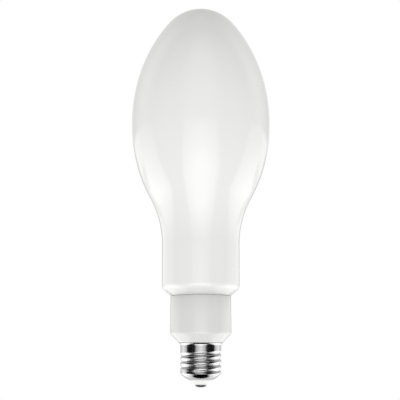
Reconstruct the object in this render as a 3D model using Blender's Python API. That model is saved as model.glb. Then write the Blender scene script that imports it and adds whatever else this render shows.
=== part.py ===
"""Opal LED filament lamp on an E27 screw base, in metres, +Z up.

The origin is the middle of the flat land under the centre contact and the axis is +Z.
Every height is worked out upwards from there: contact, insulator, screw shell, collar, glass.
The glass is one sealed opal body. The collar and the screw shell are hollow and hold the
driver: a round board on a ledge, with its parts above and below it and its four wires.
"""

import math

import bmesh
import bpy
from mathutils import Vector

# Gap kept between two pieces that touch or are bonded
FIT = 0.0003

# Facets around a full turn
MAIN_STEPS = 36
SMALL_STEPS = 16
TINY_STEPS = 12

# Centre contact
CONTACT_RADIUS = 0.0037
CONTACT_HEIGHT = 0.0015
CONTACT_LAND_RADIUS = 0.0022
RIVET_RADIUS = 0.0013
RIVET_STAND = 0.0008

# Insulator below the screw shell
INSULATOR_NOSE_RADIUS = 0.0062
INSULATOR_NECK_RADIUS = 0.0082
INSULATOR_CONE_HEIGHT = 0.0029
INSULATOR_NECK_HEIGHT = 0.0007
INSULATOR_DEPTH = 0.0036
INSULATOR_EDGE_RADIUS = 0.0004

# Screw shell, rolled from sheet to the E27 form
SHEET = 0.0003
THREAD_CREST_RADIUS = 0.0132
THREAD_DEPTH = 0.00085
THREAD_CREST_SHARE = 0.64
THREAD_PITCH = 0.003629
THREAD_TURNS = 3.7
THREAD_START_TURN = -0.41
THREAD_FADE_TURNS = 0.22
THREAD_ROWS_PER_PITCH = 6
SHELL_RIM_HEIGHT = 0.0054
SHELL_FLARE_RADIUS = 0.0032
SHELL_FLARE_ANGLE = math.radians(48)
SHELL_FOOT_RADIUS = 0.0032
SHELL_FOOT_ANGLE = math.radians(58)
SHELL_LIP_RADIUS = 0.0089

# Moulded collar between the shell and the glass
COLLAR_WALL = 0.0016
COLLAR_BASE_RADIUS = 0.0198
COLLAR_TOP_RADIUS = 0.0194
COLLAR_CONE_HEIGHT = 0.0056
COLLAR_HEIGHT = 0.0239
COLLAR_EDGE_RADIUS = 0.0012
COLLAR_RIM_RADIUS = 0.0003
LEDGE_RISE = 0.0042
LEDGE_WIDTH = 0.0014
SLEEVE_WALL = 0.0012
SLEEVE_LENGTH = 0.0106
KEY_WIDTH = 0.0020
KEY_DEPTH = 0.0012
KEY_HEIGHT = 0.0042
WIRE_SLOT_WIDTH = 0.0018
WIRE_SLOT_TURN = 0.36

# Glass
GLASS_BULGE_RADIUS = 0.0439
GLASS_BULGE_BAND = 0.0020
GLASS_CAP_RADIUS = 0.0286
GLASS_UPPER_RADIUS = 0.0970
GLASS_LOWER_RADIUS = 0.0920
GLASS_WAIST_RADIUS = 0.0620
GLASS_NECK_RADIUS = 0.0248
GLASS_NECK_FLARE = 0.0001
GLASS_NECK_LENGTH = 0.0261
GLASS_SHOULDER_RADIUS = 0.0047
GLASS_SHOULDER_TURN = math.radians(50)
GLASS_STUB_RADIUS = 0.0158
GLASS_STUB_LENGTH = 0.0115
GLASS_RIM_THICKNESS = 0.0022
GLASS_FUNNEL_HEIGHT = 0.0170
GLASS_PINCH_RADIUS = 0.0062
GLASS_TIP_RADIUS = 0.0020
GLASS_TIP_LENGTH = 0.0090

# Bonding ring between the glass and the collar
BOND_HEIGHT = 0.0060

# Driver board and its parts
BOARD_THICKNESS = 0.0016
PART_GAP = 0.0006
STORAGE_CAN_RADIUS = 0.0050
STORAGE_CAN_HEIGHT = 0.0160
OUTPUT_CAN_RADIUS = 0.0036
OUTPUT_CAN_HEIGHT = 0.0070
CAN_GROOVE_DEPTH = 0.0004
CAN_GROOVE_HEIGHT = 0.0016
CAN_EDGE_RADIUS = 0.0006
CHOKE_HEIGHT = 0.0120
CHOKE_FLANGE = 0.0015
CHOKE_POST_SHARE = 0.5
FILM_BLOCK = (0.0090, 0.0044, 0.0074)
VARISTOR_RADIUS = 0.0033
VARISTOR_THICKNESS = 0.0030
BRIDGE_BODY = (0.0050, 0.0047, 0.0025)
CHIP_BODY = (0.0050, 0.0040, 0.0016)
DIODE_BODY = (0.0043, 0.0026, 0.0021)
RESISTOR_CHIP = (0.0032, 0.0016, 0.0006)
BODY_EDGE = 0.0003
LEG_THICKNESS = 0.0002
LEG_WIDTH = 0.0004
LEG_REACH = 0.0009
FUSE_RADIUS = 0.0016
FUSE_LENGTH = 0.0080
FUSE_CAP_LENGTH = 0.0014
FUSE_CAP_STEP = 0.0002

# Places on top of the board: distance from the axis, and share of a turn from +X
OUTPUT_CAN_PLACE = (0.0065, -0.06)
BRIDGE_PLACE = (0.0072, -0.40)
CHIP_PLACE = (0.0080, 0.12)
DIODE_PLACE = (0.0078, 0.40)
SENSE_PLACE = (0.0118, 0.25)
BLEED_PLACE = (0.0088, 0.25)
FUSE_PLACE = (0.0095, -0.25)

# Wires
WIRE_RADIUS = 0.0005
LEAD_IN_RADIUS = 0.0003
LEAD_IN_SPACING = 0.0066


# Heights and radii that follow from the sizes above

LIP_Z = CONTACT_HEIGHT + INSULATOR_CONE_HEIGHT + INSULATOR_NECK_HEIGHT
FOOT_CURVE_RADIUS_AT_CONE = THREAD_CREST_RADIUS - SHELL_FOOT_RADIUS * (1 - math.cos(SHELL_FOOT_ANGLE))
FOOT_CONE_TOP_Z = LIP_Z + (FOOT_CURVE_RADIUS_AT_CONE - SHELL_LIP_RADIUS) / math.tan(SHELL_FOOT_ANGLE)
FOOT_TOP_Z = FOOT_CONE_TOP_Z + SHELL_FOOT_RADIUS * math.sin(SHELL_FOOT_ANGLE)
THREAD_TOP_Z = FOOT_TOP_Z + THREAD_TURNS * THREAD_PITCH
SHELL_TOP_Z = THREAD_TOP_Z + SHELL_RIM_HEIGHT
FLARE_Z = SHELL_TOP_Z - SHELL_FLARE_RADIUS * math.sin(SHELL_FLARE_ANGLE)

THREAD_CREST_HALF = THREAD_CREST_SHARE * THREAD_PITCH / 2
THREAD_ROOT_HALF = THREAD_PITCH / 2 - THREAD_CREST_HALF
THREAD_FLANK_ANGLE = 2 * math.atan(2 * THREAD_DEPTH / THREAD_PITCH)
THREAD_CREST_ROUND = THREAD_CREST_HALF / math.sin(THREAD_FLANK_ANGLE)
THREAD_ROOT_ROUND = THREAD_ROOT_HALF / math.sin(THREAD_FLANK_ANGLE)

INSULATOR_TOP_Z = LIP_Z + INSULATOR_DEPTH
RIVET_TOP_Z = INSULATOR_TOP_Z + RIVET_STAND

REGISTER_RADIUS = THREAD_CREST_RADIUS - SHEET - FIT
REGISTER_LENGTH = SHELL_RIM_HEIGHT - THREAD_PITCH / 2 - FIT
SLEEVE_RADIUS = REGISTER_RADIUS - THREAD_DEPTH
SLEEVE_BORE = SLEEVE_RADIUS - SLEEVE_WALL
SLEEVE_FOOT_Z = SHELL_TOP_Z - SLEEVE_LENGTH

COLLAR_FOOT_TURN = SHELL_FLARE_ANGLE + FIT / SHELL_FLARE_RADIUS
COLLAR_FOOT_Z = FLARE_Z + SHELL_FLARE_RADIUS * math.sin(COLLAR_FOOT_TURN)
COLLAR_FOOT_RADIUS = THREAD_CREST_RADIUS + SHELL_FLARE_RADIUS * (1 - math.cos(COLLAR_FOOT_TURN))
COLLAR_EDGE_Z = COLLAR_FOOT_Z + COLLAR_CONE_HEIGHT
COLLAR_TOP_Z = COLLAR_EDGE_Z + COLLAR_HEIGHT
COLLAR_BORE = COLLAR_TOP_RADIUS - COLLAR_WALL
LEDGE_Z = COLLAR_EDGE_Z + LEDGE_RISE
LEDGE_BORE = COLLAR_BORE - LEDGE_WIDTH

SEAT_SLOPE = 1 / math.tan(GLASS_SHOULDER_TURN)
SEAT_GAP = FIT / math.sin(GLASS_SHOULDER_TURN)
SHOULDER_OUTER_RADIUS = GLASS_NECK_RADIUS + GLASS_NECK_FLARE

BOARD_Z = LEDGE_Z + FIT
BOARD_TOP_Z = BOARD_Z + BOARD_THICKNESS
BOARD_RADIUS = COLLAR_BORE - FIT
UNDER_BOARD_Z = BOARD_Z - FIT
OVER_BOARD_Z = BOARD_TOP_Z + FIT

STORAGE_X = -(SLEEVE_BORE - FIT - STORAGE_CAN_RADIUS)
CHOKE_RADIUS = SLEEVE_BORE - FIT - STORAGE_CAN_RADIUS - PART_GAP / 2
CHOKE_X = SLEEVE_BORE - FIT - CHOKE_RADIUS


# Scene, materials and shapes

def clear_scene():
    """Remove what the file starts with."""
    for item in list(bpy.data.objects):
        bpy.data.objects.remove(item, do_unlink=True)


def finish(name, colour, roughness, metallic=0.0):
    """Make one plain material."""
    made = bpy.data.materials.new(name)
    made.use_nodes = True
    shader = made.node_tree.nodes["Principled BSDF"]
    shader.inputs["Base Color"].default_value = (*colour, 1.0)
    shader.inputs["Roughness"].default_value = roughness
    shader.inputs["Metallic"].default_value = metallic
    return made


def place(name, data, material, location=(0, 0, 0), parent=None):
    """Put a mesh or a curve into the scene as one named piece."""
    piece = bpy.data.objects.new(name, data)
    bpy.context.scene.collection.objects.link(piece)
    piece.location = location
    piece.parent = parent
    data.materials.append(material)
    return piece


def mesh_from(bm, name, smooth_angle=math.radians(35)):
    """Close a bmesh into a mesh whose faces point out and whose round faces are smooth."""
    bmesh.ops.remove_doubles(bm, verts=bm.verts[:], dist=1e-6)
    bmesh.ops.recalc_face_normals(bm, faces=bm.faces[:])
    mesh = bpy.data.meshes.new(name)
    bm.to_mesh(mesh)
    bm.free()
    mesh.shade_smooth()
    mesh.set_sharp_from_angle(angle=smooth_angle)
    return mesh


def arc(centre, radius, start, end, steps):
    """Points on an arc in the (radius, height) plane, with both ends."""
    points = []
    for i in range(steps + 1):
        angle = start + (end - start) * i / steps
        points.append((centre[0] + radius * math.cos(angle), centre[1] + radius * math.sin(angle)))
    return points


def spin_outline(outline, steps, closed):
    """Turn an outline of (radius, height) points once around the Z axis."""
    bm = bmesh.new()
    corners = [bm.verts.new((r, 0, z)) for r, z in outline]
    for first, second in zip(corners, corners[1:]):
        bm.edges.new((first, second))
    if closed:
        bm.edges.new((corners[-1], corners[0]))
    bmesh.ops.spin(bm, geom=bm.verts[:] + bm.edges[:], cent=(0, 0, 0), axis=(0, 0, 1),
                   dvec=(0, 0, 0), angle=2 * math.pi, steps=steps, use_duplicate=False)
    bmesh.ops.remove_doubles(bm, verts=bm.verts[:], dist=1e-6)
    return bm


def turned(name, outline, material, steps=MAIN_STEPS, closed=False, **where):
    """A turned piece. An open outline starts and ends on the axis, a closed one is a ring."""
    bm = spin_outline(outline, steps, closed)
    return place(name, mesh_from(bm, name), material, **where)


def block(name, size, material, edge=0.0, **where):
    """A box with its middle at the object's origin, with its edges chamfered."""
    bm = bmesh.new()
    bmesh.ops.create_cube(bm, size=1.0)
    bmesh.ops.scale(bm, vec=Vector(size), verts=bm.verts[:])
    if edge:
        bmesh.ops.bevel(bm, geom=bm.edges[:], offset=edge, segments=1, affect="EDGES")
    return place(name, mesh_from(bm, name), material, **where)


def combine(piece, tool, operation):
    """Cut a hidden tool out of a piece, or weld it on."""
    change = piece.modifiers.new(tool.name, "BOOLEAN")
    change.operation = operation
    change.solver = "EXACT"
    change.object = tool
    tool.display_type = "WIRE"
    tool.hide_render = True


def smooth_route(stops, per_stretch):
    """Points on a smooth curve through the stops, which bends evenly at each one."""
    padded = [2 * stops[0] - stops[1]] + stops + [2 * stops[-1] - stops[-2]]
    points = []
    for i in range(1, len(padded) - 2):
        before, start, end, after = padded[i - 1:i + 3]
        for step in range(per_stretch):
            t = step / per_stretch
            points.append(0.5 * (2 * start + (end - before) * t
                                 + (2 * before - 5 * start + 4 * end - after) * t ** 2
                                 + (3 * start - before - 3 * end + after) * t ** 3))
    points.append(stops[-1])
    return points


def wire(name, stops, radius, material, per_stretch=2, **where):
    """A round wire along a smooth route, closed at both ends."""
    route = smooth_route([Vector(stop) for stop in stops], per_stretch)
    curve = bpy.data.curves.new(name, "CURVE")
    curve.dimensions = "3D"
    curve.bevel_depth = radius
    curve.bevel_resolution = 2
    curve.use_fill_caps = True
    spline = curve.splines.new("POLY")
    spline.points.add(len(route) - 1)
    for point, spot in zip(spline.points, route):
        point.co = (*spot, 1.0)
    return place(name, curve, material, **where)


def around(radius, turn, z):
    """A point at a radius, a share of a full turn from +X, and a height."""
    angle = 2 * math.pi * turn
    return (radius * math.cos(angle), radius * math.sin(angle), z)


# Glass

def seat_z(radius):
    """Height of the glass's conical underside, which lies just over the collar's sloped rim."""
    return COLLAR_TOP_Z + SEAT_GAP + (radius - COLLAR_TOP_RADIUS) * SEAT_SLOPE


def glass_underside():
    """Outline from the exhaust tip on the axis, up the funnel, round the rim and to the shoulder."""
    corner_z = seat_z(GLASS_STUB_RADIUS)
    rim_round = GLASS_RIM_THICKNESS / 2
    rim_z = corner_z - GLASS_STUB_LENGTH + rim_round
    pinch_z = rim_z + GLASS_FUNNEL_HEIGHT
    tip_z = pinch_z - GLASS_TIP_LENGTH
    tip = arc((0, tip_z), GLASS_TIP_RADIUS, -math.pi / 2, 0, 2)
    tip_root = [(GLASS_TIP_RADIUS, pinch_z)]
    funnel_top = [(GLASS_PINCH_RADIUS, pinch_z)]
    rim = arc((GLASS_STUB_RADIUS - rim_round, rim_z), rim_round, -math.pi, 0, 3)
    stub_top = [(GLASS_STUB_RADIUS, corner_z)]
    return tip + tip_root + funnel_top + rim + stub_top


def glass_body(shoulder_z):
    """Outline from the shoulder, up the neck and the egg-shaped bulge, to the top on the axis."""
    waist_z = shoulder_z + GLASS_NECK_LENGTH
    across = GLASS_NECK_RADIUS + GLASS_WAIST_RADIUS - (GLASS_BULGE_RADIUS - GLASS_LOWER_RADIUS)
    reach = GLASS_LOWER_RADIUS + GLASS_WAIST_RADIUS
    bulge_z = waist_z + math.sqrt(reach ** 2 - across ** 2)
    waist_turn = math.acos(across / reach)
    waist = arc((GLASS_NECK_RADIUS + GLASS_WAIST_RADIUS, waist_z), GLASS_WAIST_RADIUS,
                math.pi, math.pi - waist_turn, 4)
    lower = arc((GLASS_BULGE_RADIUS - GLASS_LOWER_RADIUS, bulge_z), GLASS_LOWER_RADIUS,
                -waist_turn, 0, 5)
    band_z = bulge_z + GLASS_BULGE_BAND
    upper_x = GLASS_BULGE_RADIUS - GLASS_UPPER_RADIUS
    cap_turn = math.acos(-upper_x / (GLASS_UPPER_RADIUS - GLASS_CAP_RADIUS))
    cap_z = band_z - upper_x * math.tan(cap_turn)
    upper = arc((upper_x, band_z), GLASS_UPPER_RADIUS, 0, cap_turn, 5)
    cap = arc((0, cap_z), GLASS_CAP_RADIUS, cap_turn, math.pi / 2, 6)
    return waist + lower[1:] + upper + cap[1:-1] + [(0, cap_z + GLASS_CAP_RADIUS)]


def make_glass(root):
    """The sealed opal glass, with the fused rim, funnel and exhaust tip under it."""
    shoulder_x = SHOULDER_OUTER_RADIUS - GLASS_SHOULDER_RADIUS
    cone_end_x = shoulder_x + GLASS_SHOULDER_RADIUS * math.cos(GLASS_SHOULDER_TURN)
    shoulder_z = seat_z(cone_end_x) + GLASS_SHOULDER_RADIUS * math.sin(GLASS_SHOULDER_TURN)
    shoulder = arc((shoulder_x, shoulder_z), GLASS_SHOULDER_RADIUS, -GLASS_SHOULDER_TURN, 0, 4)
    outline = glass_underside() + shoulder + glass_body(shoulder_z)
    opal = finish("opal_glass", (0.90, 0.90, 0.89), 0.06)
    turned("glass_bulb", outline, opal, parent=root)


def make_bonding_ring(root):
    """The ring of silicone that bonds the glass stub into the collar."""
    inner = GLASS_STUB_RADIUS + FIT
    outer = COLLAR_BORE - FIT
    top_z = seat_z(GLASS_STUB_RADIUS) - FIT
    foot_z = top_z - BOND_HEIGHT
    crown = (outer - inner) / 4
    outline = [(inner, top_z), (inner, foot_z), (inner + crown, foot_z - crown),
               (outer - crown, foot_z - crown), (outer, foot_z), (outer, top_z)]
    silicone = finish("white_silicone", (0.82, 0.82, 0.80), 0.6)
    turned("bonding_ring", outline, silicone, closed=True, parent=root)


# Collar

def flare(inset, turn):
    """Outline up the shell's flared top, so far inside its outer face, through an angle."""
    return arc((THREAD_CREST_RADIUS + SHELL_FLARE_RADIUS, FLARE_Z), SHELL_FLARE_RADIUS + inset,
               math.pi, math.pi - turn, 3)


def make_collar(root):
    """The moulded collar: drafted wall, cone, flared seat, register and sleeve inside the shell."""
    cone_slope = COLLAR_CONE_HEIGHT / (COLLAR_BASE_RADIUS - COLLAR_FOOT_RADIUS)
    wall_across_cone = COLLAR_WALL * math.hypot(1, 1 / cone_slope)

    def inner_cone_z(radius):
        return COLLAR_FOOT_Z + (radius + wall_across_cone - COLLAR_FOOT_RADIUS) * cone_slope

    cone_turn = math.atan(1 / cone_slope)
    edge_run = COLLAR_EDGE_RADIUS * math.tan(cone_turn / 2)
    edge = arc((COLLAR_BASE_RADIUS - COLLAR_EDGE_RADIUS, COLLAR_EDGE_Z + edge_run),
               COLLAR_EDGE_RADIUS, -cone_turn, 0, 3)
    rim = arc((COLLAR_TOP_RADIUS - COLLAR_RIM_RADIUS, COLLAR_TOP_Z - COLLAR_RIM_RADIUS),
              COLLAR_RIM_RADIUS, 0, math.pi / 2 + math.atan(SEAT_SLOPE), 2)
    rim_inner_z = COLLAR_TOP_Z - (COLLAR_TOP_RADIUS - COLLAR_BORE) * SEAT_SLOPE
    outside = flare(SHEET + FIT, COLLAR_FOOT_TURN) + [(COLLAR_FOOT_RADIUS, COLLAR_FOOT_Z)] + edge + rim
    inside = [(COLLAR_BORE, rim_inner_z), (COLLAR_BORE, LEDGE_Z), (LEDGE_BORE, LEDGE_Z),
              (LEDGE_BORE, inner_cone_z(LEDGE_BORE)), (SLEEVE_BORE, inner_cone_z(SLEEVE_BORE)),
              (SLEEVE_BORE, SLEEVE_FOOT_Z), (SLEEVE_RADIUS, SLEEVE_FOOT_Z)]
    register_z = SHELL_TOP_Z - REGISTER_LENGTH
    step = [(SLEEVE_RADIUS, register_z), (REGISTER_RADIUS, register_z)]
    white = finish("white_moulding", (0.80, 0.80, 0.79), 0.42)
    collar = turned("base_collar", outside + inside + step, white, closed=True, parent=root)

    key_reach = KEY_DEPTH + COLLAR_WALL / 2
    key_z = LEDGE_Z + KEY_HEIGHT / 2 - COLLAR_WALL / 2
    key = block("key_tool", (KEY_WIDTH, key_reach, KEY_HEIGHT + COLLAR_WALL), white,
                location=(0, COLLAR_BORE - KEY_DEPTH + key_reach / 2, key_z), parent=root)
    combine(collar, key, "UNION")

    slot_height = wire_slot_z() + WIRE_SLOT_WIDTH / 2 - SLEEVE_FOOT_Z + FIT
    slot = block("wire_slot_tool", (SLEEVE_WALL * 3, WIRE_SLOT_WIDTH, slot_height), white, parent=root,
                 location=around((SLEEVE_BORE + SLEEVE_RADIUS) / 2, WIRE_SLOT_TURN,
                                 SLEEVE_FOOT_Z - FIT + slot_height / 2))
    slot.rotation_euler = (0, 0, 2 * math.pi * WIRE_SLOT_TURN)
    combine(collar, slot, "DIFFERENCE")


# Screw shell

def groove_z(turn):
    """Height of the thread groove's middle, so many turns from +X."""
    return FOOT_TOP_Z + (turn - THREAD_START_TURN) * THREAD_PITCH


def ease(share):
    """Smooth step from 0 to 1."""
    share = min(max(share, 0.0), 1.0)
    return share * share * (3 - 2 * share)


def groove_depth(angle, z):
    """How far the rolled thread lies inside the crest radius, at an angle and a height.

    The section along the axis is made of arcs that meet with one tangent, wide crests and
    narrow roots, and the groove eases in and out over a part of a turn at both ends.
    """
    turn = angle / (2 * math.pi)
    nearest = round((z - groove_z(turn)) / THREAD_PITCH)
    off_middle = abs(z - groove_z(turn + nearest))
    if off_middle < THREAD_ROOT_HALF:
        rise = THREAD_ROOT_ROUND - math.sqrt(THREAD_ROOT_ROUND ** 2 - off_middle ** 2)
        depth = THREAD_DEPTH - rise
    else:
        off_crest = THREAD_PITCH / 2 - off_middle
        depth = THREAD_CREST_ROUND - math.sqrt(THREAD_CREST_ROUND ** 2 - off_crest ** 2)
    run = turn + nearest - THREAD_START_TURN
    fade_in = ease(run / THREAD_FADE_TURNS)
    fade_out = ease((THREAD_TURNS - run) / THREAD_FADE_TURNS)
    return depth * fade_in * fade_out


def make_screw_shell(root):
    """The rolled E27 shell: a spun sheet, pressed in along a right-handed helix."""
    cone = [(SHELL_LIP_RADIUS, LIP_Z)]
    foot = arc((THREAD_CREST_RADIUS - SHELL_FOOT_RADIUS, FOOT_TOP_Z), SHELL_FOOT_RADIUS,
               -SHELL_FOOT_ANGLE, 0, 3)
    row_step = THREAD_PITCH / THREAD_ROWS_PER_PITCH
    thread_rows = math.ceil((THREAD_TURNS + THREAD_FADE_TURNS) * THREAD_ROWS_PER_PITCH)
    rows = [(THREAD_CREST_RADIUS, FOOT_TOP_Z + i * row_step) for i in range(1, thread_rows + 1)]
    outline = cone + foot + rows + flare(0, SHELL_FLARE_ANGLE)
    bm = spin_outline(outline, MAIN_STEPS, closed=False)
    for corner in bm.verts:
        x, y, z = corner.co
        radius = math.hypot(x, y)
        share = (radius - groove_depth(math.atan2(y, x), z)) / radius
        corner.co = (x * share, y * share, z)
    nickel = finish("nickel_plated_sheet", (0.66, 0.66, 0.67), 0.12, 1.0)
    shell = place("screw_shell", mesh_from(bm, "screw_shell"), nickel, parent=root)
    wall = shell.modifiers.new("sheet", "SOLIDIFY")
    wall.thickness = SHEET
    wall.offset = -1
    wall.use_even_offset = True


# Insulator and contact

def make_insulator(root):
    """The insulator: a cone below the lip, and a flange held inside the shell's foot."""
    bore = RIVET_RADIUS + FIT
    slope = math.tan(SHELL_FOOT_ANGLE)
    clear = (SHEET + FIT) / math.sin(SHELL_FOOT_ANGLE)

    def flange_z(radius):
        return LIP_Z + clear + (radius - SHELL_LIP_RADIUS + FIT) / slope

    neck = INSULATOR_NECK_RADIUS
    reach = FOOT_CURVE_RADIUS_AT_CONE - SHEET - FIT
    nose_edge = INSULATOR_EDGE_RADIUS
    outline = [(bore, CONTACT_HEIGHT + FIT), (INSULATOR_NOSE_RADIUS - nose_edge, CONTACT_HEIGHT + FIT),
               (INSULATOR_NOSE_RADIUS, CONTACT_HEIGHT + FIT + nose_edge),
               (neck, LIP_Z - INSULATOR_NECK_HEIGHT), (neck, flange_z(neck)), (reach, flange_z(reach)),
               (reach, INSULATOR_TOP_Z), (bore, INSULATOR_TOP_Z)]
    ceramic = finish("white_insulator", (0.84, 0.84, 0.83), 0.35)
    turned("base_insulator", outline, ceramic, steps=MAIN_STEPS, closed=True, parent=root)


def make_contact(root):
    """The centre contact: a shallow dome with a flat land, and its rivet through the insulator."""
    dome_steps = 3
    dome = []
    for i in range(dome_steps + 1):
        share = i / dome_steps
        radius = CONTACT_LAND_RADIUS + (CONTACT_RADIUS - CONTACT_LAND_RADIUS) * math.sin(share * math.pi / 2)
        dome.append((radius, CONTACT_HEIGHT * (1 - math.cos(share * math.pi / 2))))
    outline = [(0, 0)] + dome + [(RIVET_RADIUS, CONTACT_HEIGHT), (RIVET_RADIUS, RIVET_TOP_Z),
                                 (0, RIVET_TOP_Z)]
    solder = finish("dull_solder", (0.28, 0.28, 0.29), 0.38, 1.0)
    turned("centre_contact", outline, solder, steps=SMALL_STEPS, parent=root)


# Driver

def make_board(root):
    """The round board on the collar's ledge, notched for the key that stops it turning."""
    outline = [(0, BOARD_Z), (BOARD_RADIUS, BOARD_Z), (BOARD_RADIUS, BOARD_TOP_Z), (0, BOARD_TOP_Z)]
    glass_fibre = finish("green_board", (0.03, 0.20, 0.08), 0.45)
    board = turned("driver_board", outline, glass_fibre, parent=root)
    notch_depth = KEY_DEPTH + FIT
    notch = block("notch_tool", (KEY_WIDTH + 2 * FIT, notch_depth * 2, BOARD_THICKNESS * 2), glass_fibre,
                  location=(0, COLLAR_BORE, BOARD_Z + BOARD_THICKNESS / 2), parent=root)
    combine(board, notch, "DIFFERENCE")


def can_outline(radius, height):
    """Outline of an electrolytic can that stands on z = 0, crimped near its foot."""
    top = arc((radius - CAN_EDGE_RADIUS, height - CAN_EDGE_RADIUS), CAN_EDGE_RADIUS, 0, math.pi / 2, 2)
    groove = [(radius, CAN_GROOVE_HEIGHT - CAN_GROOVE_DEPTH), (radius - CAN_GROOVE_DEPTH, CAN_GROOVE_HEIGHT),
              (radius, CAN_GROOVE_HEIGHT + CAN_GROOVE_DEPTH)]
    return [(0, 0), (radius, 0)] + groove + top + [(0, height)]


def flipped(outline):
    """The same outline, hanging down from z = 0."""
    return [(r, -z) for r, z in outline]


def make_cans(root):
    """The storage capacitor hangs into the screw shell, the output capacitor stands on the board."""
    sleeve = finish("black_can_sleeve", (0.03, 0.03, 0.035), 0.35)
    storage = flipped(can_outline(STORAGE_CAN_RADIUS, STORAGE_CAN_HEIGHT))
    turned("storage_capacitor", storage, sleeve, steps=SMALL_STEPS,
           location=(STORAGE_X, 0, UNDER_BOARD_Z), parent=root)
    blue_sleeve = finish("blue_can_sleeve", (0.04, 0.09, 0.25), 0.35)
    output = can_outline(OUTPUT_CAN_RADIUS, OUTPUT_CAN_HEIGHT)
    turned("output_capacitor", output, blue_sleeve, steps=SMALL_STEPS,
           location=around(*OUTPUT_CAN_PLACE, OVER_BOARD_Z), parent=root)


def make_choke(root):
    """The choke: a drum core with the winding between its flanges."""
    post = CHOKE_RADIUS * CHOKE_POST_SHARE
    drum = [(0, 0), (CHOKE_RADIUS, 0), (CHOKE_RADIUS, CHOKE_FLANGE), (post, CHOKE_FLANGE),
            (post, CHOKE_HEIGHT - CHOKE_FLANGE), (CHOKE_RADIUS, CHOKE_HEIGHT - CHOKE_FLANGE),
            (CHOKE_RADIUS, CHOKE_HEIGHT), (0, CHOKE_HEIGHT)]
    ferrite = finish("grey_ferrite", (0.06, 0.06, 0.06), 0.7)
    where = (CHOKE_X, 0, UNDER_BOARD_Z)
    turned("choke_core", flipped(drum), ferrite, steps=SMALL_STEPS, location=where, parent=root)
    foot = CHOKE_FLANGE + FIT
    top = CHOKE_HEIGHT - CHOKE_FLANGE - FIT
    inner = post + FIT
    outer = CHOKE_RADIUS - 2 * FIT
    crown = (outer - inner) / 4
    turns = [(inner, foot), (outer, foot), (outer + FIT, foot + crown), (outer + FIT, top - crown),
             (outer, top), (inner, top)]
    copper = finish("enamelled_copper", (0.55, 0.20, 0.08), 0.3, 1.0)
    turned("choke_winding", flipped(turns), copper, steps=SMALL_STEPS, closed=True,
           location=where, parent=root)


def legged(name, size, pairs, material, spot, root):
    """A moulded part on the board with pairs of flat legs out of its long sides."""
    x, y, z = around(*spot, OVER_BOARD_Z + size[2] / 2)
    body = block(name, size, material, edge=BODY_EDGE, location=(x, y, z), parent=root)
    spacing = size[0] / pairs
    for i in range(pairs):
        leg_x = x + (i - (pairs - 1) / 2) * spacing
        leg = block(f"{name}_leg_tool_{i}", (LEG_WIDTH, size[1] + 2 * LEG_REACH, LEG_THICKNESS), material,
                    location=(leg_x, y, z), parent=root)
        combine(body, leg, "UNION")


def make_top_parts(root):
    """The small parts on top of the board, inside the mouth of the glass funnel."""
    black = finish("black_epoxy", (0.02, 0.02, 0.02), 0.5)
    legged("bridge_rectifier", BRIDGE_BODY, 2, black, BRIDGE_PLACE, root)
    legged("controller_chip", CHIP_BODY, 4, black, CHIP_PLACE, root)
    legged("freewheel_diode", DIODE_BODY, 1, black, DIODE_PLACE, root)
    chip_ends = finish("resistor_ceramic", (0.10, 0.09, 0.08), 0.5)
    chip_z = OVER_BOARD_Z + RESISTOR_CHIP[2] / 2
    block("sense_resistor", RESISTOR_CHIP, chip_ends, location=around(*SENSE_PLACE, chip_z), parent=root)
    block("bleed_resistor", RESISTOR_CHIP, chip_ends, location=around(*BLEED_PLACE, chip_z), parent=root)
    cap_radius = FUSE_RADIUS
    body_radius = FUSE_RADIUS - FUSE_CAP_STEP
    half = FUSE_LENGTH / 2
    outline = [(0, -half), (cap_radius, -half), (cap_radius, FUSE_CAP_LENGTH - half),
               (body_radius, FUSE_CAP_LENGTH - half), (body_radius, half - FUSE_CAP_LENGTH),
               (cap_radius, half - FUSE_CAP_LENGTH), (cap_radius, half), (0, half)]
    enamel = finish("fuse_enamel", (0.20, 0.32, 0.42), 0.35)
    fuse = turned("fuse_resistor", outline, enamel, steps=TINY_STEPS,
                  location=around(*FUSE_PLACE, OVER_BOARD_Z + FUSE_RADIUS), parent=root)
    fuse.rotation_euler = (0, math.pi / 2, 0)


def make_under_parts(root):
    """The film capacitor and the varistor, which hang beside the can and the choke."""
    yellow = finish("yellow_film_case", (0.70, 0.50, 0.06), 0.4)
    beside = STORAGE_CAN_RADIUS + 2 * PART_GAP
    block("film_capacitor", FILM_BLOCK, yellow, edge=BODY_EDGE,
          location=(0, beside + FILM_BLOCK[1] / 2, UNDER_BOARD_Z - FILM_BLOCK[2] / 2), parent=root)
    half = VARISTOR_THICKNESS / 2
    edge = half / 2
    disc = [(0, -half), (VARISTOR_RADIUS - edge, -half), (VARISTOR_RADIUS, -edge),
            (VARISTOR_RADIUS, edge), (VARISTOR_RADIUS - edge, half), (0, half)]
    blue = finish("blue_varistor_coat", (0.03, 0.12, 0.35), 0.4)
    varistor = turned("varistor", disc, blue, steps=SMALL_STEPS, parent=root,
                      location=(0, -beside - half - 3 * WIRE_RADIUS, UNDER_BOARD_Z - VARISTOR_RADIUS))
    varistor.rotation_euler = (math.pi / 2, 0, 0)


# Wires

def wire_slot_z():
    """Height of the thread groove at the wire slot, next above the sleeve's foot."""
    first = groove_z(WIRE_SLOT_TURN)
    rings = math.ceil((SLEEVE_FOOT_Z + WIRE_SLOT_WIDTH / 2 - first) / THREAD_PITCH)
    return first + rings * THREAD_PITCH


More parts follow.
